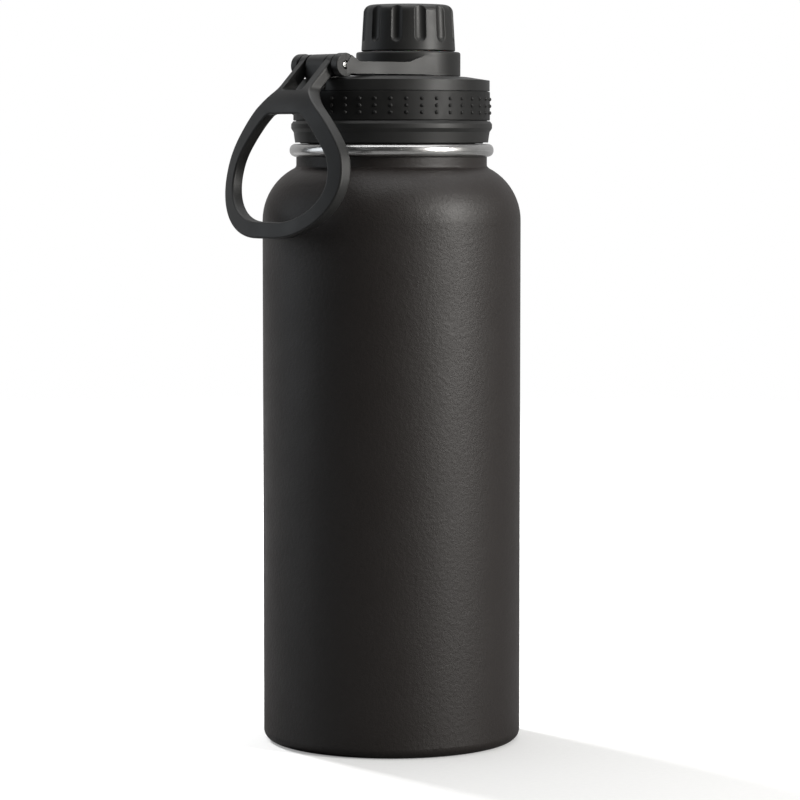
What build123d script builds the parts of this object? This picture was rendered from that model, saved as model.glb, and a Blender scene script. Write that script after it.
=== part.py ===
from build123d import *
from math import asin, atan2, cos, degrees, hypot, radians, sin, sqrt, tan
import os

# Insulated growler: a double-walled steel bottle with a screw lid, a capped spout and a carry loop.
# Millimetres, +Z up. The origin is the centre of the circle that the bottle stands on.
# The lid's hinge is on the -X side, the spout is set off towards +X, and XZ is the plane of symmetry.

# Bottle
body_radius = 45.0
straight_height = 182.0  # height of the straight wall, from the floor to the shoulder
shoulder_radius = 20.5
neck_radius = 33.2
neck_length = 3.6
neck_fillet = 1.2
base_corner = 3.5
shell_wall = 0.8
liner_wall = 0.8
vacuum_gap = 2.5
neck_gap = 1.0  # between the two walls at the neck
foot_width = 2.0
weld_gap = 0.02
base_recess = 3.0
base_gap = 3.2  # between the outer base and the liner's floor
liner_corner = 6.0
base_cover_radius = 30.0
base_cover_thickness = 0.6
seal_hole_radius = 1.5
seal_bead_radius = 2.6
seal_bead_height = 1.0
seal_bead_fillet = 0.8
getter_radius = 4.0
getter_thickness = 1.2
getter_fillet = 0.4
getter_offset = 20.0

# Rolled rim at the mouth
rim_overhang = 2.3
rim_height = 4.5
rim_roll = 2.1
mouth_fillet = 0.6

# Screw thread between the bottle's neck and the lid's plug
neck_pitch = 5.0
neck_thread_depth = 1.1
neck_thread_drop = 4.5  # from the shell's top down to the thread's start
neck_thread_turns = 1.2
plug_thread_turns = 1.6
thread_clearance = 0.3
thread_bite = 0.3  # how far a thread's root reaches into its wall
crest_share = 0.24  # widths of the ridge as shares of the pitch
root_share = 0.38

# Lid
lid_overhang = 0.4
lid_gap = 0.4
lid_wall = 1.6
lid_ledge = 1.0
lid_height = 22.7
lid_top_wall = 2.5
crown_flare = 0.5  # the crown's edge stands this far out from the lid's foot
crown_width = 8.0
crown_drop = 1.25
crown_edge_fillet = 3.0
crown_top_fillet = 12.0
skirt_draft = 0.5
skirt_height = 3.6
bulge_step = 1.35
bulge_start = 4.9
bulge_end = 6.4
bulge_fillet = 0.5
band_start = 7.4
band_height = 10.4
band_thickness = 0.95
band_step = 0.6  # the band stands this far out from the lid's foot
band_gap = 0.25
band_edge = 0.25
band_inset = 0.1
dot_rows = 3
dot_columns = 40
dot_pitch = 2.35
dot_radius = 0.7
dot_height = 0.5
seat_clearance = 0.05
gasket_thickness = 2.4
gasket_fillet = 0.4
gasket_clearance = 0.1
plug_depth = 14.5
plug_wall = 2.0
plug_flange = 2.0
plug_corner = 1.6
foam_clearance = 0.1

# Spout and its cap
spout_offset = 7.6
spout_bore = 9.0
spout_wall = 2.0
spout_lip_fillet = 0.7
spout_height = 19.2  # above the lid's top
cap_pitch = 3.0
cap_thread_depth = 0.9
cap_thread_turns = 1.5
cap_thread_rise = 10.4  # above the lid's top
cap_wall = 3.0
cap_draft = 0.95  # how much narrower the cap is at its top
cap_lid_gap = 9.0  # from the lid's top to the cap's lower edge
cap_roof = 2.3
cap_top_fillet = 2.9
cap_edge = 0.4
flute_count = 12
flute_width = 4.2
flute_depth = 1.0
flute_start = 3.1
flute_turn = 5.0  # degrees from the +X side to the first flute
flute_edge = 0.45
insert_wall = 1.2
insert_roof = 1.7
flange_overhang = 1.9
flange_thickness = 1.2
seal_thickness = 1.75
seal_fillet = 0.3

# Collar that ties the cap to the hinge
collar_step = 1.8  # the collar stands this far out from the cap
collar_base_gap = 0.4
collar_wall = 2.4
collar_top_wall = 1.6
collar_cap_gap = 0.3
collar_fillet = 0.8
collar_clearance = 0.4
flange_gap = 0.3
link_thickness = 3.4
link_height = 4.1
link_rise = 0.3  # from the collar's base to the links' lower edge
ramp_start = 0.70  # shares of the link's length
ramp_end = 0.87
ramp_height = 2.3
link_edge = 0.35

# Hinge and carry loop
hinge_inset = 2.9
hinge_lift = 3.6  # pin's height above the lid's top
barrel_radius = 3.8
knuckle_radius = 4.05
shoulder_angle = 35.0  # where the knuckles and the lug leave their round tops
lug_edge = 0.5
lug_half_width = 4.95
hinge_gap = 0.6
pin_radius = 1.0
pin_recess = 0.25
pin_fillet = 0.25
pin_end_radius = 1.5
pin_end_depth = 1.2
pin_clearance = 0.08
lug_length = 8.5  # from the pin back to where the lug meets the lid's top
arm_thickness = 3.1
arm_angle = 45.0
loop_thickness = 4.2
loop_lid_gap = 9.6
loop_body_gap = 7.6
loop_bend = 16.0
loop_curve = 118.0
loop_drop = 58.7
loop_half_width = 31.5
loop_widest_drop = 38.5  # from the pin down to the widest place
loop_flat = 5.0  # half width of the foot's straight part
loop_limb = 6.2
loop_foot = 5.6
loop_trim = 2.0  # how far the bent plate runs past the loop's outline before it is cut
flare_drop = 8.3
flank_drop = 13.2
flank_half_width = 14.5
flank_angle = 53.0
flank_middle_drop = 23.0
flank_middle_half_width = 24.8
flank_middle_angle = 37.0
slot_drop = 8.6
hole_drop = 16.7
hole_corner = 5.5
flare_fillet = 3.0
slot_fillet = 1.0
loop_edge = 0.7

# Places that follow from the sizes above: the bottle
arc_centre = body_radius - shoulder_radius
neck_start = straight_height + sqrt(shoulder_radius**2 - (neck_radius - arc_centre) ** 2)
shell_top = neck_start + neck_length
rim_radius = neck_radius + rim_overhang
rim_top = shell_top + rim_height
liner_inset = shell_wall + vacuum_gap
liner_neck = neck_radius - shell_wall - neck_gap
mouth_radius = liner_neck - liner_wall
liner_floor = base_recess + shell_wall + base_gap
foot_inner = body_radius - base_corner - foot_width
neck_thread_start = shell_top - neck_thread_drop

# The lid
lid_radius = neck_radius + lid_overhang
lid_bottom = rim_top + lid_gap
lid_top = lid_bottom + lid_height
lid_bore = lid_radius - lid_wall
groove_radius = lid_radius + band_step - band_thickness
groove_bottom = lid_bottom + band_start
groove_top = groove_bottom + band_height
dot_centre = groove_radius + band_thickness + dot_height - dot_radius
gasket_bottom = rim_top + seat_clearance
flange_bottom = gasket_bottom + gasket_thickness + seat_clearance
flange_top = flange_bottom + plug_flange
cavity_radius = lid_bore - lid_ledge
plug_radius = mouth_radius - neck_thread_depth - thread_clearance
plug_bottom = rim_top - plug_depth
plug_thread_start = neck_thread_start - neck_pitch / 2
foam_bottom = plug_bottom + plug_wall + foam_clearance

# The spout, its cap and its collar
spout_radius = spout_bore + spout_wall
spout_top = lid_top + spout_height
spout_plane = Plane(origin=(spout_offset, 0, 0), x_dir=(1, 0, 0), z_dir=(0, -1, 0))
spout_axis = Axis((spout_offset, 0, 0), (0, 0, 1))
cap_thread_start = lid_top + cap_thread_rise
insert_bore = spout_radius + cap_thread_depth + thread_clearance
insert_radius = insert_bore + insert_wall
cap_radius = insert_radius + cap_wall
cap_top_radius = cap_radius - cap_draft
collar_radius = cap_radius + collar_step
insert_top = spout_top + 2 * seat_clearance + seal_thickness + insert_roof
cap_bottom = lid_top + cap_lid_gap
cap_top = insert_top + seat_clearance + cap_roof
collar_base = lid_top + collar_base_gap
collar_top = cap_bottom - collar_cap_gap
flange_base = collar_base + flange_gap

# The hinge and the collar's links
pin_x = -(lid_radius - hinge_inset)
pin_z = lid_top + hinge_lift
arm_inner = lug_half_width + hinge_gap
arm_outer = arm_inner + arm_thickness
knuckle_outer = arm_outer + hinge_gap + link_thickness
shoulder_turn = radians(shoulder_angle)
link_reach = hypot(spout_offset - pin_x, knuckle_outer)
link_length = sqrt(link_reach**2 - collar_radius**2)
link_turn = asin(collar_radius / link_reach) - atan2(knuckle_outer, spout_offset - pin_x)
link_bottom = collar_base + link_rise
link_top = link_bottom + link_height
ramp_top = link_top + ramp_height
link_shoulder = (knuckle_radius - (link_top - pin_z) * cos(shoulder_turn)) / sin(shoulder_turn)

# The carry loop
arm_lean = radians(arm_angle)
flank_lean = radians(flank_angle)
middle_lean = radians(flank_middle_angle)
loop_bottom = pin_z - loop_drop
flare_height = pin_z - flare_drop
slot_bottom = pin_z - slot_drop


def bottle_section(inset, neck, bottom, top, corner):
    """Half section of a bottle shape: straight wall, round shoulder and neck, closed on the axis."""
    wall = body_radius - inset
    arc = shoulder_radius - inset
    rise = sqrt(arc**2 - (neck - arc_centre) ** 2)
    sweep_angle = degrees(atan2(rise, neck - arc_centre))
    with BuildSketch(Plane.XZ) as section:
        with BuildLine():
            Polyline((0, top), (0, bottom), (wall, bottom), (wall, straight_height))
            CenterArc((arc_centre, straight_height), arc, 0, sweep_angle)
            Polyline((neck, straight_height + rise), (neck, top), (0, top))
        make_face()
        fillet(section.vertices().group_by(Axis.Y)[0].sort_by(Axis.X)[-1], corner)
        fillet(section.vertices().group_by(Axis.Y)[-2], neck_fillet)
    return section.sketch


def loop_face(side, foot, shoulder):
    """Front face of the carry loop below the hinge, moved in at its sides and foot."""
    start = (flank_half_width - side * cos(flank_lean), pin_z - flank_drop - side * sin(flank_lean))
    middle = (
        flank_middle_half_width - side * cos(middle_lean),
        pin_z - flank_middle_drop - side * sin(middle_lean),
    )
    widest = (loop_half_width - side, pin_z - loop_widest_drop)
    corner_width = widest[0] - loop_flat
    corner_height = widest[1] - loop_bottom - foot
    corner_end = (loop_flat, loop_bottom + foot)
    with BuildSketch(Plane.YZ) as outline:
        with BuildLine():
            Spline(start, middle, widest, tangents=[(sin(flank_lean), -cos(flank_lean)), (0, -1)])
            EllipticalCenterArc((loop_flat, widest[1]), corner_width, corner_height, start_angle=270)
            Polyline(corner_end, (0, loop_bottom + foot), *shoulder, start)
        make_face()
        mirror(about=Plane.YZ)
    return outline.sketch_local


def thread_ridge(root, depth, pitch, turns, start, centre_x=0.0):
    """Right-handed helical ridge on a wall of radius root. A negative depth points inwards."""
    crest_width = crest_share * pitch
    root_width = root_share * pitch
    bite = -thread_bite if depth > 0 else thread_bite
    with BuildPart() as ridge:
        with BuildLine() as path:
            Helix(pitch=pitch, height=pitch * turns, radius=root, center=(centre_x, 0, start))
        with BuildSketch(Plane(origin=path.line @ 0, x_dir=(1, 0, 0), z_dir=path.line % 0)):
            with BuildLine():
                Polyline(
                    (bite, -root_width / 2),
                    (depth, -crest_width / 2),
                    (depth, crest_width / 2),
                    (bite, root_width / 2),
                    close=True,
                )
            make_face()
        sweep(is_frenet=True)
    return ridge.part


os.makedirs("parts", exist_ok=True)

# Outer shell: drawn steel tube with a rounded shoulder and neck, its lower edge curled under as a foot.
shell_outside = bottle_section(0, neck_radius, 0, shell_top, base_corner)
shell_inside = bottle_section(
    shell_wall, neck_radius - shell_wall, shell_wall, shell_top, base_corner - shell_wall
)
with BuildPart() as outer_shell:
    add(shell_outside)
    revolve(axis=Axis.Z)
    add(shell_inside)
    revolve(axis=Axis.Z, mode=Mode.SUBTRACT)
    with Locations((0, 0, shell_wall / 2)):
        Cylinder(foot_inner, 2 * shell_wall, mode=Mode.SUBTRACT)
outer_shell.part.label = "outer_shell"
export_step(outer_shell.part, "parts/outer_shell.step")

# Outer base: dished steel disc welded into the foot, with the evacuation hole at its centre.
with BuildPart() as outer_base:
    with BuildSketch(Plane.XZ):
        with BuildLine():
            Polyline(
                (seal_hole_radius, base_recess),
                (foot_inner - shell_wall, base_recess),
                (foot_inner - shell_wall, 0),
                (foot_inner - weld_gap, 0),
                (foot_inner - weld_gap, base_recess + shell_wall),
                (seal_hole_radius, base_recess + shell_wall),
                close=True,
            )
        make_face()
    revolve(axis=Axis.Z)
outer_base.part.label = "outer_base"
export_step(outer_base.part, "parts/outer_base.step")

# Base cover: thin disc glued over the evacuation hole.
with BuildPart() as base_cover:
    with BuildSketch(Plane.XY.offset(base_recess - base_cover_thickness)):
        Circle(base_cover_radius)
    extrude(amount=base_cover_thickness)
    fillet(base_cover.edges().group_by(Axis.Z)[0], base_cover_thickness / 2)
base_cover.part.label = "base_cover"
export_step(base_cover.part, "parts/base_cover.step")

# Vacuum seal: bead of solder glass that closes the evacuation hole from inside the gap.
with BuildPart() as vacuum_seal:
    with BuildSketch(Plane.XY.offset(base_recess)):
        Circle(seal_hole_radius)
    extrude(amount=shell_wall)
    with BuildSketch(Plane.XY.offset(base_recess + shell_wall)):
        Circle(seal_bead_radius)
    extrude(amount=seal_bead_height)
    fillet(vacuum_seal.edges().group_by(Axis.Z)[-1], seal_bead_fillet)
vacuum_seal.part.label = "vacuum_seal"
export_step(vacuum_seal.part, "parts/vacuum_seal.step")

# Getter: pressed pellet under the liner's floor that keeps the vacuum clean.
with BuildPart() as getter:
    with BuildSketch(Plane.XY.offset(liner_floor - getter_thickness)):
        with Locations((getter_offset, 0)):
            Circle(getter_radius)
    extrude(amount=getter_thickness)
    fillet(getter.edges().group_by(Axis.Z)[0], getter_fillet)
getter.part.label = "getter"
export_step(getter.part, "parts/getter.step")

# Inner liner: drawn steel flask, rolled outwards over the shell's neck as a polished rim,
# with the screw thread rolled into its neck.
liner_outside = bottle_section(liner_inset, liner_neck, liner_floor, rim_top, liner_corner)
liner_inside = bottle_section(
    liner_inset + liner_wall,
    mouth_radius,
    liner_floor + liner_wall,
    rim_top,
    liner_corner - liner_wall,
)
liner_thread = thread_ridge(
    mouth_radius, -neck_thread_depth, neck_pitch, neck_thread_turns, neck_thread_start
)
with BuildPart() as inner_liner:
    add(liner_outside)
    revolve(axis=Axis.Z)
    with BuildSketch(Plane.XZ) as rim_section:
        with Locations((0, shell_top)):
            Rectangle(rim_radius, rim_height, align=(Align.MIN, Align.MIN))
        fillet(rim_section.vertices().group_by(Axis.X)[-1], rim_roll)
    revolve(axis=Axis.Z)
    add(liner_inside)
    revolve(axis=Axis.Z, mode=Mode.SUBTRACT)
    rim_edges = inner_liner.edges().filter_by(GeomType.CIRCLE).group_by(Axis.Z)[-1]
    fillet(rim_edges.sort_by(SortBy.RADIUS)[0], mouth_fillet)
    add(liner_thread)
inner_liner.part.label = "inner_liner"
export_step(inner_liner.part, "parts/inner_liner.step")

# Lid gasket: silicone ring in the lid's skirt that seats on top of the rim.
with BuildPart() as lid_gasket:
    with BuildSketch(Plane.XY.offset(gasket_bottom)):
        Circle(lid_bore - gasket_clearance)
        Circle(plug_radius + gasket_clearance, mode=Mode.SUBTRACT)
    extrude(amount=gasket_thickness)
    fillet(lid_gasket.edges().group_by(Axis.Z)[0], gasket_fillet)
lid_gasket.part.label = "lid_gasket"
export_step(lid_gasket.part, "parts/lid_gasket.step")

# Lid shell: moulded cover with a groove for the grip band and the lug of the hinge.
with BuildPart() as hinge_lug:
    with BuildSketch(Plane.XZ):
        with Locations((pin_x, pin_z)):
            Circle(barrel_radius)
        with BuildLine():
            Polyline(
                (pin_x - barrel_radius, pin_z),
                (pin_x - barrel_radius, groove_top + band_gap),
                (-cavity_radius, groove_top + band_gap),
                (-cavity_radius, lid_top - lid_top_wall / 2),
                (pin_x + lug_length, lid_top - lid_top_wall / 2),
                (pin_x + lug_length, lid_top),
                (pin_x + barrel_radius * sin(shoulder_turn), pin_z + barrel_radius * cos(shoulder_turn)),
                close=True,
            )
        make_face()
    extrude(amount=lug_half_width, both=True)
    fillet(hinge_lug.edges().group_by(Axis.Y)[0], lug_edge)
    fillet(hinge_lug.edges().group_by(Axis.Y)[-1], lug_edge)
with BuildPart() as lid_shell:
    with BuildSketch(Plane.XZ) as cover_section:
        with BuildLine():
            Polyline(
                (lid_bore, lid_bottom),
                (lid_radius, lid_bottom),
                (lid_radius + skirt_draft, lid_bottom + skirt_height),
                (lid_radius + bulge_step, lid_bottom + bulge_start),
                (lid_radius + bulge_step, lid_bottom + bulge_end),
                (groove_radius + band_thickness, groove_bottom),
                (groove_radius, groove_bottom),
                (groove_radius, groove_top),
                (groove_radius + band_thickness - band_inset, groove_top),
                (lid_radius + crown_flare, lid_top - crown_drop),
                (lid_radius + crown_flare - crown_width, lid_top),
                (0, lid_top),
                (0, lid_top - lid_top_wall),
                (cavity_radius, lid_top - lid_top_wall),
                (cavity_radius, flange_top),
                (lid_bore, flange_top),
                close=True,
            )
        make_face()
        crown_corners = cover_section.vertices().filter_by_position(Axis.Y, groove_top + band_gap, lid_top)
        crown_corners = crown_corners.filter_by_position(Axis.X, groove_radius - crown_width, body_radius)
        fillet(crown_corners.sort_by(Axis.X)[0], crown_top_fillet)
        fillet(crown_corners.sort_by(Axis.X)[-1], crown_edge_fillet)
        fillet(cover_section.vertices().group_by(Axis.X)[-1], bulge_fillet)
    revolve(axis=Axis.Z)
    add(hinge_lug.part)
    with BuildSketch(Plane.XZ.offset(-lug_half_width)):
        with Locations((pin_x, pin_z)):
            Circle(pin_radius)
    extrude(amount=2 * lug_half_width, mode=Mode.SUBTRACT)
    with BuildSketch(Plane.XY.offset(lid_top)):
        with Locations((spout_offset, 0)):
            Circle(spout_radius + seat_clearance)
    extrude(amount=-lid_top_wall, mode=Mode.SUBTRACT)
lid_shell.part.label = "lid_shell"
export_step(lid_shell.part, "parts/lid_shell.step")

# Plug: one moulding, a threaded cup that fills the bottle's neck with the drinking spout through it.
plug_thread = thread_ridge(
    plug_radius, neck_thread_depth, neck_pitch, plug_thread_turns, plug_thread_start
)
spout_thread = thread_ridge(
    spout_radius, cap_thread_depth, cap_pitch, cap_thread_turns, cap_thread_start, spout_offset
)
with BuildPart() as lid_plug:
    with BuildSketch(Plane.XZ) as cup_section:
        with BuildLine():
            Polyline(
                (0, plug_bottom),
                (plug_radius, plug_bottom),
                (plug_radius, flange_bottom),
                (lid_bore - seat_clearance, flange_bottom),
                (lid_bore - seat_clearance, flange_top),
                (plug_radius - plug_wall, flange_top),
                (plug_radius - plug_wall, plug_bottom + plug_wall),
                (0, plug_bottom + plug_wall),
                close=True,
            )
        make_face()
        floor_corner = cup_section.vertices().group_by(Axis.Y)[0].sort_by(Axis.X)[-1]
        fillet(floor_corner, plug_corner)
    revolve(axis=Axis.Z)
    with BuildSketch(Plane.XY.offset(plug_bottom)):
        with Locations((spout_offset, 0)):
            Circle(spout_radius)
    extrude(amount=spout_top - plug_bottom)
    with BuildSketch(Plane.XY.offset(plug_bottom)):
        with Locations((spout_offset, 0)):
            Circle(spout_bore)
    extrude(amount=spout_top - plug_bottom, mode=Mode.SUBTRACT)
    fillet(lid_plug.edges().group_by(Axis.Z)[-1], spout_lip_fillet)
    add(plug_thread)
    add(spout_thread)
lid_plug.part.label = "lid_plug"
export_step(lid_plug.part, "parts/lid_plug.step")

# Foam insert: insulating ring between the plug and the lid shell.
with BuildPart() as foam_insert:
    with BuildSketch(Plane.XY.offset(foam_bottom)):
        Circle(plug_radius - plug_wall - foam_clearance)
        with Locations((spout_offset, 0)):
            Circle(spout_radius + foam_clearance, mode=Mode.SUBTRACT)
    extrude(amount=lid_top - lid_top_wall - foam_clearance - foam_bottom)
foam_insert.part.label = "foam_insert"
export_step(foam_insert.part, "parts/foam_insert.step")

# Grip band: silicone sleeve stretched into the lid's groove, with rows of raised dots.
with BuildPart() as grip_band:
    with BuildSketch(Plane.XY.offset(groove_bottom + band_gap)):
        Circle(groove_radius + band_thickness)
    extrude(amount=band_height - 2 * band_gap)
    fillet(grip_band.edges(), band_edge)
    with BuildSketch(Plane.XY.offset(groove_bottom)):
        Circle(groove_radius)
    extrude(amount=band_height, mode=Mode.SUBTRACT)
    for row in range(dot_rows):
        row_height = groove_bottom + band_height / 2 + (row - (dot_rows - 1) / 2) * dot_pitch
        with Locations((0, 0, row_height)):
            with PolarLocations(dot_centre, dot_columns, start_angle=180 / dot_columns):
                Sphere(dot_radius)
grip_band.part.label = "grip_band"
export_step(grip_band.part, "parts/grip_band.step")

# Spout collar: ring round the cap's foot, tied to the hinge by two links tangent to the ring.
link_plane = Plane(
    origin=(pin_x, knuckle_outer, 0),
    x_dir=(cos(link_turn), sin(link_turn), 0),
    z_dir=(sin(link_turn), -cos(link_turn), 0),
)
with BuildPart() as link_bar:
    with BuildSketch(link_plane):
        with BuildLine():
            Polyline(
                (0, pin_z),
                (0, link_bottom),
                (link_length, link_bottom),
                (link_length, ramp_top),
                (ramp_end * link_length, ramp_top),
                (ramp_start * link_length, link_top),
                (link_shoulder, link_top),
                (knuckle_radius * sin(shoulder_turn), pin_z + knuckle_radius * cos(shoulder_turn)),
                close=True,
            )
        make_face()
    extrude(amount=link_thickness)
    fillet(link_bar.faces().sort_by(Axis.Y)[0].edges(), link_edge)
with BuildPart() as link_knuckle:
    with BuildSketch(Plane.XZ.offset(-knuckle_outer)):
        with Locations((pin_x, pin_z)):
            Circle(knuckle_radius)
    extrude(amount=link_thickness)
    fillet(link_knuckle.edges().filter_by(GeomType.CIRCLE), link_edge)
with BuildPart() as spout_collar:
    add(link_bar.part)
    add(link_knuckle.part)
    with BuildSketch(Plane.XZ.offset(-knuckle_outer)):
        with Locations((pin_x, pin_z)):
            Circle(pin_end_radius)
    extrude(amount=pin_end_depth, mode=Mode.SUBTRACT)
    mirror(about=Plane.XZ)
    with BuildSketch(Plane.XY.offset(collar_base)):
        with Locations((spout_offset, 0)):
            Circle(collar_radius)
    extrude(amount=collar_top - collar_base)
    fillet(spout_collar.edges().filter_by(GeomType.CIRCLE).group_by(Axis.Z)[-1], collar_fillet)
    with BuildSketch(Plane.XY.offset(collar_base)):
        with Locations((spout_offset, 0)):
            Circle(collar_radius - collar_wall)
    extrude(amount=collar_top - collar_top_wall - collar_base, mode=Mode.SUBTRACT)
    with BuildSketch(Plane.XY.offset(collar_top)):
        with Locations((spout_offset, 0)):
            Circle(insert_radius + collar_clearance)
    extrude(amount=collar_base - collar_top, mode=Mode.SUBTRACT)
    with BuildSketch(Plane.XZ.offset(-knuckle_outer)):
        with Locations((pin_x, pin_z)):
            Circle(pin_radius)
    extrude(amount=2 * knuckle_outer, mode=Mode.SUBTRACT)
spout_collar.part.label = "spout_collar"
export_step(spout_collar.part, "parts/spout_collar.step")

# Hinge pin: steel rod through the links, the loop's arms and the lid's lug.
with BuildPart() as hinge_pin:
    with BuildSketch(Plane.XZ.offset(-(knuckle_outer - pin_recess))):
        with Locations((pin_x, pin_z)):
            Circle(pin_radius)
    extrude(amount=2 * (knuckle_outer - pin_recess))
    fillet(hinge_pin.edges().filter_by(GeomType.CIRCLE), pin_fillet)
hinge_pin.part.label = "hinge_pin"
export_step(hinge_pin.part, "parts/hinge_pin.step")

# Cap insert: threaded inner cup, pressed up into the cap through the collar that its flange holds.
insert_thread = thread_ridge(
    insert_bore,
    -cap_thread_depth,
    cap_pitch,
    cap_thread_turns,
    cap_thread_start + cap_pitch / 2,
    spout_offset,
)
with BuildPart() as cap_insert:
    with BuildSketch(spout_plane):
        with BuildLine():
            Polyline(
                (insert_bore, flange_base),
                (insert_radius + flange_overhang, flange_base),
                (insert_radius + flange_overhang, flange_base + flange_thickness),
                (insert_radius, flange_base + flange_thickness),
                (insert_radius, insert_top),
                (0, insert_top),
                (0, insert_top - insert_roof),
                (insert_bore, insert_top - insert_roof),
                close=True,
            )
        make_face()
    revolve(axis=spout_axis)
    add(insert_thread)
cap_insert.part.label = "cap_insert"
export_step(cap_insert.part, "parts/cap_insert.step")

# Cap seal: silicone disc that the cap presses onto the spout's lip.
with BuildPart() as cap_seal:
    with BuildSketch(Plane.XY.offset(spout_top + seat_clearance)):
        with Locations((spout_offset, 0)):
            Circle(insert_bore - thread_clearance)
    extrude(amount=seal_thickness)
    fillet(cap_seal.edges(), seal_fillet)
cap_seal.part.label = "cap_seal"
export_step(cap_seal.part, "parts/cap_seal.step")

# Spout cap: tapered knob with long finger flutes that stop short of its lower edge.
flute_tool_radius = ((flute_width / 2) ** 2 + flute_depth**2) / (2 * flute_depth)
flute_foot = cap_bottom + flute_start + flute_width / 2
cap_taper = atan2(cap_radius - cap_top_radius, cap_top - cap_bottom)
flute_axis_radius = (
    cap_radius - (flute_foot - cap_bottom) * tan(cap_taper) + flute_tool_radius - flute_depth
)
flute_plane = Plane(
    origin=(flute_axis_radius, 0, flute_foot),
    x_dir=(cos(cap_taper), 0, sin(cap_taper)),
    z_dir=(-sin(cap_taper), 0, cos(cap_taper)),
)
with BuildPart() as flute_tool:
    with BuildSketch(flute_plane):
        Circle(flute_tool_radius)
    extrude(amount=cap_top - flute_foot + flute_width)
    with Locations((flute_axis_radius, 0, flute_foot)):
        Sphere(flute_tool_radius)
with BuildPart() as spout_cap:
    with BuildSketch(spout_plane) as knob_section:
        with BuildLine():
            Polyline(
                (insert_radius + seat_clearance, cap_bottom),
                (cap_radius, cap_bottom),
                (cap_top_radius, cap_top),
                (0, cap_top),
                (0, insert_top + seat_clearance),
                (insert_radius + seat_clearance, insert_top + seat_clearance),
                close=True,
            )
        make_face()
        crown = knob_section.vertices().group_by(Axis.Y)[-1].sort_by(Axis.X)[-1]
        fillet(crown, cap_top_fillet)
        foot = knob_section.vertices().group_by(Axis.Y)[0].sort_by(Axis.X)[-1]
        fillet(foot, cap_edge)
    revolve(axis=spout_axis)
    plain_edges = spout_cap.edges()
    with Locations((spout_offset, 0)):
        with PolarLocations(0, flute_count, start_angle=flute_turn):
            add(flute_tool.part, mode=Mode.SUBTRACT)
    fillet(spout_cap.edges() - plain_edges, flute_edge)
spout_cap.part.label = "spout_cap"
export_step(spout_cap.part, "parts/spout_cap.step")

# Carry loop: curved plate that leans out from two slanted arms on the hinge pin.
loop_start = (pin_x - barrel_radius * sin(arm_lean), pin_z + barrel_radius * cos(arm_lean))
bend_x = -(lid_radius + loop_lid_gap + loop_thickness)
bend_z = loop_start[1] - (loop_start[0] - bend_x) / tan(arm_lean)
loop_end = (-(body_radius + loop_body_gap + loop_thickness), loop_bottom)
leg = (loop_end[0] - bend_x, loop_end[1] - bend_z)
leg_stretch = 1 + loop_trim / hypot(*leg)
plate_end = (bend_x + leg_stretch * leg[0], bend_z + leg_stretch * leg[1])
section_plane = Plane(
    origin=(loop_start[0], 0, loop_start[1]),
    x_dir=(0, 1, 0),
    z_dir=(-sin(arm_lean), 0, -cos(arm_lean)),
)
outer_face = loop_face(0, 0, [(0, flare_height), (arm_outer, flare_height)])
hole_top = pin_z - hole_drop
hole_shoulder = flank_half_width + (hole_drop - flank_drop) * tan(flank_lean)
hole_shoulder -= loop_limb / cos(flank_lean)
hole_face = loop_face(loop_limb, loop_foot, [(0, hole_top), (hole_shoulder, hole_top)])
with BuildPart() as carry_handle:
    with BuildLine(Plane.XZ):
        FilletPolyline(loop_start, (bend_x, bend_z), plate_end, radius=loop_bend)
    with BuildSketch(section_plane):
        with Locations((0, loop_curve)):
            Circle(loop_curve)
            Circle(loop_curve - loop_thickness, mode=Mode.SUBTRACT)
        plate_width = 2 * (loop_half_width + loop_trim)
        Rectangle(plate_width, loop_curve, align=(Align.CENTER, Align.MIN), mode=Mode.INTERSECT)
    sweep()
    with BuildSketch(Plane.YZ) as front:
        add(outer_face)
        with Locations((0, flare_height)):
            Rectangle(2 * arm_outer, 2 * flare_drop, align=(Align.CENTER, Align.MIN))
        flare_corners = front.vertices().filter_by_position(Axis.Y, flare_height, flare_height)
        fillet(flare_corners, flare_fillet)
        add(hole_face, mode=Mode.SUBTRACT)
        hole_corners = front.vertices().filter_by_position(Axis.Y, hole_top, hole_top)
        fillet(hole_corners, hole_corner)
    extrude(amount=2 * body_radius, both=True, mode=Mode.INTERSECT)
    with BuildSketch(Plane.XZ.offset(-arm_outer)):
        with Locations((pin_x, pin_z)):
            Circle(barrel_radius)
    extrude(amount=2 * arm_outer)
    with BuildSketch(Plane.XZ.offset(-arm_outer)):
        with Locations((pin_x, pin_z)):
            Circle(pin_radius + pin_clearance)
    extrude(amount=2 * arm_outer, mode=Mode.SUBTRACT)
    with BuildSketch(Plane.YZ) as slot:
        with Locations((0, slot_bottom)):
            Rectangle(2 * arm_inner, 2 * slot_drop, align=(Align.CENTER, Align.MIN))
        fillet(slot.vertices().group_by(Axis.Y)[0], slot_fillet)
    extrude(amount=2 * body_radius, both=True, mode=Mode.SUBTRACT)
    loop_edges = carry_handle.edges().filter_by_position(Axis.Z, loop_bottom, slot_bottom - loop_edge)
    fillet(loop_edges, loop_edge)
carry_handle.part.label = "carry_handle"
export_step(carry_handle.part, "parts/carry_handle.step")
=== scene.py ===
from math import cos, pi, radians, sin

import bmesh
import bpy
from mathutils import Matrix, Vector


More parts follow.
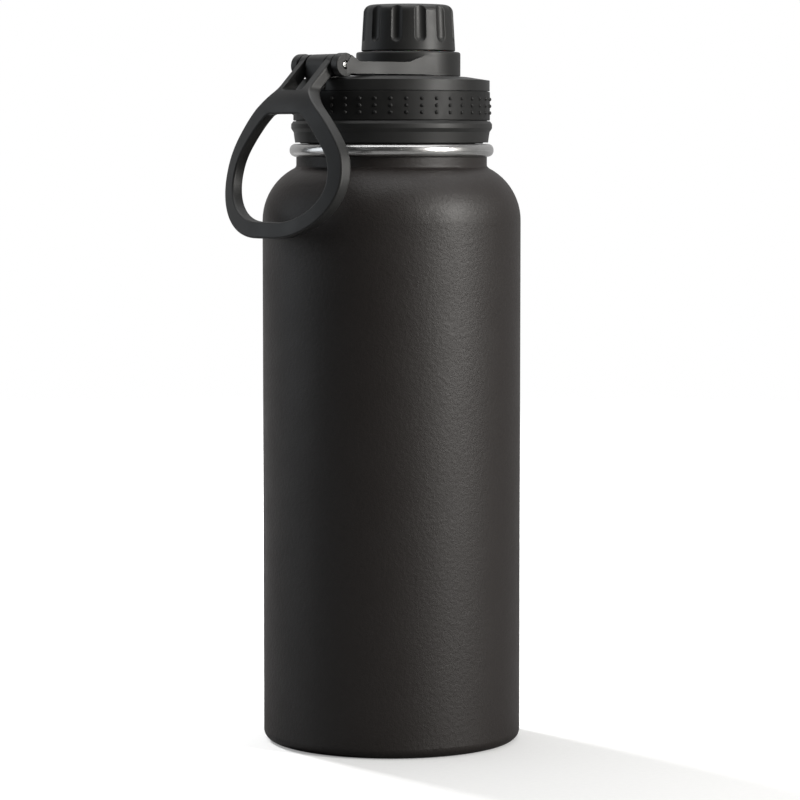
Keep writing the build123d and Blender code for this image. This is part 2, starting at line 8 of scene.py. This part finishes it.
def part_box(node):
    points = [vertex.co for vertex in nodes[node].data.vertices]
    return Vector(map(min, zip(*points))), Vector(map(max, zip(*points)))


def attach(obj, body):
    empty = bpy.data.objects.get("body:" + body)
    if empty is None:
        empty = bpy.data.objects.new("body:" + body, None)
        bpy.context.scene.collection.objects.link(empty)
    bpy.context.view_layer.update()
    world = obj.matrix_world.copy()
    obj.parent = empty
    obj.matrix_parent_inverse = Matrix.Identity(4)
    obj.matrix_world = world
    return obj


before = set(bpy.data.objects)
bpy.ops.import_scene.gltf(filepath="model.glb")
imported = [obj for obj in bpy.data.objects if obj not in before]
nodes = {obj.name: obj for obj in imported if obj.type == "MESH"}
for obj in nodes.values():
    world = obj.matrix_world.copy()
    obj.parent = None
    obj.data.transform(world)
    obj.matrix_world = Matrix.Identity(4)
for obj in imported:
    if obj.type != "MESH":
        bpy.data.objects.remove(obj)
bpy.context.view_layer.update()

# Studio: a pale floor that fades into a white surround. A tall softbox stands on the right and a large one
# hangs overhead. A small lamp behind on the left throws the shadow forward, and two weak ones fill the left.
scene = bpy.context.scene
scene.view_settings.view_transform = "Standard"

camera_turn = radians(40)
camera_distance = 1.14
camera_height = 0.2089
camera_pitch = radians(4.5)
aim_turn = radians(0.147)
lens_length = 146.9
towards_object = Vector((sin(camera_turn), cos(camera_turn), 0))
across_object = Vector((cos(camera_turn), -sin(camera_turn), 0))
camera = bpy.data.objects.new("camera", bpy.data.cameras.new("camera"))
camera.data.lens = lens_length
camera.location = -camera_distance * towards_object + Vector((0, 0, camera_height))
camera.rotation_euler = (pi / 2 - camera_pitch, 0, -camera_turn - aim_turn)
scene.collection.objects.link(camera)
scene.camera = camera


def softbox(name, place, target, width, height, power, colour=(1, 1, 1), mirrored=True):
    """Soft rectangular lamp. The place and target are (across, towards the back, up), seen from the front."""
    lamp = bpy.data.objects.new(name, bpy.data.lights.new(name, "AREA"))
    lamp.data.shape = "RECTANGLE"
    lamp.data.size = width
    lamp.data.size_y = height
    lamp.data.energy = power
    lamp.data.color = colour
    spots = []
    for across, back, up in (place, target):
        spots.append(across * across_object + back * towards_object + Vector((0, 0, up)))
    lamp.location = spots[0]
    lamp.rotation_euler = (spots[1] - spots[0]).to_track_quat("-Z", "Y").to_euler()
    lamp.visible_glossy = mirrored
    scene.collection.objects.link(lamp)


warm_white = (1.0, 0.985, 0.95)
cool_white = (0.90, 0.95, 1.0)
softbox("side_softbox", (0.95, -0.60, 0.52), (0, 0, 0.18), 0.26, 0.62, 21, warm_white)
softbox("overhead_softbox", (0.0, 0.15, 1.30), (0, 0, 0.0), 1.30, 1.30, 15)
softbox("back_lamp", (-0.75, 0.95, 0.80), (0, 0, 0.05), 0.20, 0.20, 40, mirrored=False)
softbox("left_softbox", (-1.20, 0.0, 0.45), (0, 0, 0.12), 0.70, 0.80, 3.2, cool_white)
softbox("front_fill", (-0.75, -1.0, 0.75), (0, 0, 0.2), 0.5, 0.5, 0.3)

# Surround: plain white where it is seen. The light it casts comes mostly from behind the object, so the
# near faces stay dark.
sky_near_side = -0.35
sky_far_side = 0.9
sky_dim = 0.02
sky_bright = 0.50
surround = bpy.data.worlds.new("surround")
surround.use_nodes = True
scene.world = surround
air = surround.node_tree
seen_sky = air.nodes["Background"]
seen_sky.inputs["Color"].default_value = (1, 1, 1, 1)
seen_sky.inputs["Strength"].default_value = 1.0
lit_sky = air.nodes.new("ShaderNodeBackground")
lit_sky.inputs["Color"].default_value = (1.0, 1.0, 1.0, 1)
look = air.nodes.new("ShaderNodeTexCoord").outputs["Generated"]
facing = air.nodes.new("ShaderNodeVectorMath")
facing.operation = "DOT_PRODUCT"
facing.inputs[1].default_value = towards_object
air.links.new(look, facing.inputs[0])
glow = air.nodes.new("ShaderNodeMapRange")
glow.interpolation_type = "SMOOTHSTEP"
glow.inputs["From Min"].default_value = sky_near_side
glow.inputs["From Max"].default_value = sky_far_side
glow.inputs["To Min"].default_value = sky_dim
glow.inputs["To Max"].default_value = sky_bright
air.links.new(facing.outputs["Value"], glow.inputs["Value"])
air.links.new(glow.outputs["Result"], lit_sky.inputs["Strength"])
ray = air.nodes.new("ShaderNodeLightPath")
sky_choice = air.nodes.new("ShaderNodeMixShader")
air.links.new(ray.outputs["Is Camera Ray"], sky_choice.inputs["Fac"])
air.links.new(lit_sky.outputs["Background"], sky_choice.inputs[1])
air.links.new(seen_sky.outputs["Background"], sky_choice.inputs[2])
air.links.new(sky_choice.outputs["Shader"], air.nodes["World Output"].inputs["Surface"])

# Floor: a disc of pale paper. It fades out before its edge, and glows a little more with distance, so it
# meets the surround without a line. It sends little light back up at the object.
MILLIMETRE = 0.001
floor_radius = 1.6
fade_start = 0.45
fade_end = 0.97 * floor_radius
glow_start = 0.27
glow_end = 1.0
near_glow = 0.25
far_glow = 0.80
bounce = (0.17, 0.17, 0.17)
floor_mesh = bpy.data.meshes.new("floor")
disc = bmesh.new()
bmesh.ops.create_circle(disc, cap_ends=True, segments=128, radius=floor_radius)
disc.to_mesh(floor_mesh)
disc.free()
floor = bpy.data.objects.new("floor", floor_mesh)
scene.collection.objects.link(floor)


def new_finish(name):
    """Starts a procedural finish and returns it with its node tree, shader and object coordinates."""
    finish = bpy.data.materials.new(name)
    finish.use_nodes = True
    tree = finish.node_tree
    place = tree.nodes.new("ShaderNodeTexCoord").outputs["Object"]
    return finish, tree, tree.nodes["Principled BSDF"], place


def grain(tree, place, size, detail=2.0):
    """Soft noise whose grains are about size across, in metres."""
    noise = tree.nodes.new("ShaderNodeTexNoise")
    noise.inputs["Scale"].default_value = 1 / size
    noise.inputs["Detail"].default_value = detail
    tree.links.new(place, noise.inputs["Vector"])
    return noise.outputs["Fac"]


def remap(tree, source, low, high, start=0.3, end=0.7):
    """Turns a pattern that runs from start to end into one that runs from low to high."""
    ramp = tree.nodes.new("ShaderNodeMapRange")
    ramp.inputs["From Min"].default_value = start
    ramp.inputs["From Max"].default_value = end
    ramp.inputs["To Min"].default_value = low
    ramp.inputs["To Max"].default_value = high
    tree.links.new(source, ramp.inputs["Value"])
    return ramp.outputs["Result"]


def mottle(tree, shader, source, dark, light):
    """Colours the shader between two tints by a pattern."""
    tint = tree.nodes.new("ShaderNodeMix")
    tint.data_type = "RGBA"
    for socket in tint.inputs:
        if socket.name == "A" and socket.type == "RGBA":
            socket.default_value = (*dark, 1)
        if socket.name == "B" and socket.type == "RGBA":
            socket.default_value = (*light, 1)
    tree.links.new(source, tint.inputs["Factor"])
    for socket in tint.outputs:
        if socket.type == "RGBA":
            tree.links.new(socket, shader.inputs["Base Color"])
            return socket


def relief(tree, shader, *layers):
    """Bumps the surface with layers of (pattern, depth in metres), the coarsest first."""
    below = None
    for source, depth in layers:
        bump = tree.nodes.new("ShaderNodeBump")
        bump.inputs["Distance"].default_value = depth
        tree.links.new(source, bump.inputs["Height"])
        if below:
            tree.links.new(below, bump.inputs["Normal"])
        below = bump.outputs["Normal"]
    tree.links.new(below, shader.inputs["Normal"])


def dress(node_names, finish):
    """Gives CAD nodes a finish."""
    for name in node_names:
        nodes[name].data.materials.clear()
        nodes[name].data.materials.append(finish)


paper, tree, shader, place = new_finish("pale_paper")
shader.inputs["Roughness"].default_value = 0.9
mottle(tree, shader, grain(tree, place, 2 * MILLIMETRE), (0.42, 0.42, 0.418), (0.46, 0.46, 0.458))
relief(tree, shader, (grain(tree, place, 0.8 * MILLIMETRE), 0.02 * MILLIMETRE))
shader.inputs["Emission Color"].default_value = (1, 1, 1, 1)
dim_paper = tree.nodes.new("ShaderNodeBsdfDiffuse")
dim_paper.inputs["Color"].default_value = (*bounce, 1)
from_centre = tree.nodes.new("ShaderNodeVectorMath")
from_centre.operation = "LENGTH"
tree.links.new(place, from_centre.inputs[0])
edge_fade = remap(tree, from_centre.outputs["Value"], 0, 1, fade_start, fade_end)
paper_glow = remap(tree, from_centre.outputs["Value"], glow_start, glow_end, near_glow, far_glow)
tree.links.new(paper_glow, shader.inputs["Emission Strength"])
clear_edge = tree.nodes.new("ShaderNodeBsdfTransparent")
floor_ray = tree.nodes.new("ShaderNodeLightPath")
seen_floor = tree.nodes.new("ShaderNodeMixShader")
tree.links.new(floor_ray.outputs["Is Camera Ray"], seen_floor.inputs["Fac"])
tree.links.new(dim_paper.outputs["BSDF"], seen_floor.inputs[1])
tree.links.new(shader.outputs["BSDF"], seen_floor.inputs[2])
faded_floor = tree.nodes.new("ShaderNodeMixShader")
tree.links.new(edge_fade, faded_floor.inputs["Fac"])
tree.links.new(seen_floor.outputs["Shader"], faded_floor.inputs[1])
tree.links.new(clear_edge.outputs["BSDF"], faded_floor.inputs[2])
tree.links.new(faded_floor.outputs["Shader"], tree.nodes["Material Output"].inputs["Surface"])
floor.data.materials.append(paper)

# Bottle: drawn steel tube under a matt powder coat, which bakes to a fine orange peel with a slight sparkle.
# It covers only the shell: the rolled rim belongs to the liner and stays bare.
coat_dark = (0.0075, 0.0055, 0.0048)
coat_light = (0.0135, 0.0105, 0.0095)
powder, tree, shader, place = new_finish("powder_coat")
peel = grain(tree, place, 1.3 * MILLIMETRE, 1.5)
tooth = grain(tree, place, 0.38 * MILLIMETRE, 2.5)
cloud = grain(tree, place, 14 * MILLIMETRE, 3.0)
mottle(tree, shader, tooth, coat_dark, coat_light)
shader.inputs["Specular IOR Level"].default_value = 0.40
tree.links.new(remap(tree, cloud, 0.50, 0.56), shader.inputs["Roughness"])
relief(tree, shader, (peel, 0.09 * MILLIMETRE), (tooth, 0.06 * MILLIMETRE))
dress(["outer_shell"], powder)

# Bare steel: the liner is rolled out over the neck as a polished rim, and turned on the lathe, so fine
# lines run round it. The base disc and its cover are the same steel.
steel, tree, shader, place = new_finish("turned_steel")
shader.inputs["Metallic"].default_value = 1
around = tree.nodes.new("ShaderNodeSeparateXYZ")
tree.links.new(place, around.inputs[0])
flat_place = tree.nodes.new("ShaderNodeVectorMath")
flat_place.operation = "MULTIPLY"
flat_place.inputs[1].default_value = (1, 1, 0)
tree.links.new(place, flat_place.inputs[0])
radius_here = tree.nodes.new("ShaderNodeVectorMath")
radius_here.operation = "LENGTH"
tree.links.new(flat_place.outputs["Vector"], radius_here.inputs[0])
ring_place = tree.nodes.new("ShaderNodeCombineXYZ")
tree.links.new(radius_here.outputs["Value"], ring_place.inputs["X"])
tree.links.new(around.outputs["Z"], ring_place.inputs["Y"])
lines = grain(tree, ring_place.outputs["Vector"], 0.12 * MILLIMETRE, 3.0)
smear = grain(tree, place, 6 * MILLIMETRE, 2.0)
mottle(tree, shader, smear, (0.46, 0.455, 0.45), (0.62, 0.615, 0.61))
tree.links.new(remap(tree, lines, 0.22, 0.36), shader.inputs["Roughness"])
relief(tree, shader, (smear, 0.03 * MILLIMETRE), (lines, 0.0025 * MILLIMETRE))
dress(["inner_liner", "outer_base", "base_cover"], steel)

# Foot weld: the laser seam between the shell's curled foot and the base disc's flange. It is left as run, a
# low bead of the same steel.
bead_radius = 0.35 * MILLIMETRE
bead_segments = 12
bead_steps = 240
base_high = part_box("outer_base")[1]
weld_mesh = bpy.data.meshes.new("foot_weld")
bead = bmesh.new()
bead_place = Matrix.Translation((base_high.x, 0, bead_radius)) @ Matrix.Rotation(pi / 2, 4, "X")
bmesh.ops.create_circle(bead, segments=bead_segments, radius=bead_radius, matrix=bead_place)
bmesh.ops.spin(
    bead,
    geom=bead.verts[:] + bead.edges[:],
    cent=(0, 0, 0),
    axis=(0, 0, 1),
    angle=2 * pi,
    steps=bead_steps,
    use_merge=True,
)
bmesh.ops.recalc_face_normals(bead, faces=bead.faces[:])
for face in bead.faces:
    face.smooth = True
bead.to_mesh(weld_mesh)
bead.free()
foot_weld = bpy.data.objects.new("foot_weld", weld_mesh)
scene.collection.objects.link(foot_weld)
foot_weld.data.materials.append(steel)
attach(foot_weld, "bottle")

# Base details that only show in a section: the bead of solder glass that closes the evacuation hole from
# inside the gap, and the pressed pellet that keeps the vacuum clean.
glass, tree, shader, place = new_finish("solder_glass")
shader.inputs["Roughness"].default_value = 0.2
mottle(tree, shader, grain(tree, place, 0.5 * MILLIMETRE), (0.10, 0.11, 0.10), (0.20, 0.21, 0.19))
relief(tree, shader, (grain(tree, place, 0.8 * MILLIMETRE), 0.03 * MILLIMETRE))
dress(["vacuum_seal"], glass)
pellet, tree, shader, place = new_finish("pressed_metal")
shader.inputs["Metallic"].default_value = 1
speckle = grain(tree, place, 0.3 * MILLIMETRE)
mottle(tree, shader, speckle, (0.22, 0.22, 0.23), (0.42, 0.42, 0.43))
tree.links.new(remap(tree, speckle, 0.45, 0.7), shader.inputs["Roughness"])
relief(tree, shader, (speckle, 0.05 * MILLIMETRE))
dress(["getter"], pellet)

# Lid gasket and grip band: black silicone, moulded soft and matt. The band is stretched into the lid's
# groove.
rubber, tree, shader, place = new_finish("black_silicone")
bloom = grain(tree, place, 3 * MILLIMETRE, 3.0)
skin = grain(tree, place, 0.22 * MILLIMETRE)
mottle(tree, shader, bloom, (0.0045, 0.0045, 0.0045), (0.0075, 0.0075, 0.0072))
shader.inputs["Specular IOR Level"].default_value = 0.25
tree.links.new(remap(tree, bloom, 0.48, 0.60), shader.inputs["Roughness"])
relief(tree, shader, (skin, 0.010 * MILLIMETRE))
dress(["lid_gasket", "grip_band"], rubber)

# Lid, collar, cap and loop: glass-filled polypropylene, moulded with a fine spark-eroded texture.
plastic, tree, shader, place = new_finish("moulded_black")
flow = grain(tree, place, 9 * MILLIMETRE, 3.0)
texture = grain(tree, place, 0.25 * MILLIMETRE, 2.0)
mottle(tree, shader, flow, (0.0085, 0.0085, 0.0085), (0.0125, 0.0125, 0.0122))
shader.inputs["Specular IOR Level"].default_value = 0.34
tree.links.new(remap(tree, flow, 0.44, 0.54), shader.inputs["Roughness"])
relief(tree, shader, (flow, 0.04 * MILLIMETRE), (texture, 0.012 * MILLIMETRE))
dress(["lid_shell", "spout_collar", "spout_cap", "carry_handle"], plastic)

# Cap gate: the round trace that the injection gate leaves in the middle of the cap's top, a low button with
# a soft edge, in the cap's own plastic.
gate_radius = 1.6 * MILLIMETRE
gate_height = 0.18 * MILLIMETRE
gate_sink = 0.10 * MILLIMETRE
cap_low, cap_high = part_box("spout_cap")
gate_mesh = bpy.data.meshes.new("cap_gate")
button = bmesh.new()
gate_place = Matrix.Translation(((cap_low.x + cap_high.x) / 2, 0, cap_high.z - gate_sink))
bmesh.ops.create_circle(button, cap_ends=True, segments=48, radius=gate_radius, matrix=gate_place)
raised = bmesh.ops.extrude_face_region(button, geom=button.faces[:])
raised_points = [part for part in raised["geom"] if isinstance(part, bmesh.types.BMVert)]
bmesh.ops.translate(button, verts=raised_points, vec=(0, 0, gate_sink + gate_height))
top_edges = [edge for edge in button.edges if all(point in raised_points for point in edge.verts)]
bmesh.ops.bevel(
    button, geom=top_edges, offset=gate_height, segments=3, profile=0.5, affect="EDGES", material=-1
)
bmesh.ops.recalc_face_normals(button, faces=button.faces[:])
button.to_mesh(gate_mesh)
button.free()
cap_gate = bpy.data.objects.new("cap_gate", gate_mesh)
scene.collection.objects.link(cap_gate)
cap_gate.data.materials.append(plastic)
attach(cap_gate, "cap")

# Plug and cap insert: white food-grade polypropylene, slightly translucent, and glossy where the tool was
# polished.
white, tree, shader, place = new_finish("white_plastic")
milk = grain(tree, place, 7 * MILLIMETRE, 2.0)
mottle(tree, shader, milk, (0.76, 0.76, 0.73), (0.83, 0.83, 0.81))
tree.links.new(remap(tree, milk, 0.28, 0.38), shader.inputs["Roughness"])
shader.inputs["Subsurface Weight"].default_value = 0.15
shader.inputs["Subsurface Scale"].default_value = 0.001
polish = grain(tree, place, 0.3 * MILLIMETRE)
relief(tree, shader, (milk, 0.04 * MILLIMETRE), (polish, 0.004 * MILLIMETRE))
dress(["lid_plug", "cap_insert"], white)

# Foam ring inside the lid: cut from cream polyurethane with fine open cells. It insulates the space between
# the plug and the lid's shell.
foam, tree, shader, place = new_finish("cream_foam")
cells = tree.nodes.new("ShaderNodeTexVoronoi")
cells.inputs["Scale"].default_value = 1 / (0.5 * MILLIMETRE)
tree.links.new(place, cells.inputs["Vector"])
mottle(tree, shader, cells.outputs["Distance"], (0.50, 0.46, 0.36), (0.80, 0.76, 0.64))
shader.inputs["Roughness"].default_value = 0.9
relief(tree, shader, (cells.outputs["Distance"], 0.2 * MILLIMETRE))
dress(["foam_insert"], foam)

# Cap seal: pale translucent silicone disc that the cap presses onto the spout's lip. It rises with the cap
# but doesn't turn.
clear, tree, shader, place = new_finish("clear_silicone")
haze = grain(tree, place, 4 * MILLIMETRE)
mottle(tree, shader, haze, (0.62, 0.62, 0.60), (0.72, 0.72, 0.70))
tree.links.new(remap(tree, haze, 0.3, 0.42), shader.inputs["Roughness"])
shader.inputs["Subsurface Weight"].default_value = 0.4
shader.inputs["Subsurface Scale"].default_value = 0.002
relief(tree, shader, (haze, 0.03 * MILLIMETRE))
dress(["cap_seal"], clear)

# Hinge pin: ground steel rod through the collar's links, the loop's arms and the lid's lug. Its ends are
# left bright.
bright, tree, shader, place = new_finish("pin_steel")
shader.inputs["Metallic"].default_value = 1
scratch = grain(tree, place, 0.15 * MILLIMETRE)
mottle(tree, shader, scratch, (0.70, 0.70, 0.69), (0.85, 0.85, 0.84))
tree.links.new(remap(tree, scratch, 0.15, 0.3), shader.inputs["Roughness"])
relief(tree, shader, (scratch, 0.003 * MILLIMETRE))
dress(["hinge_pin"], bright)
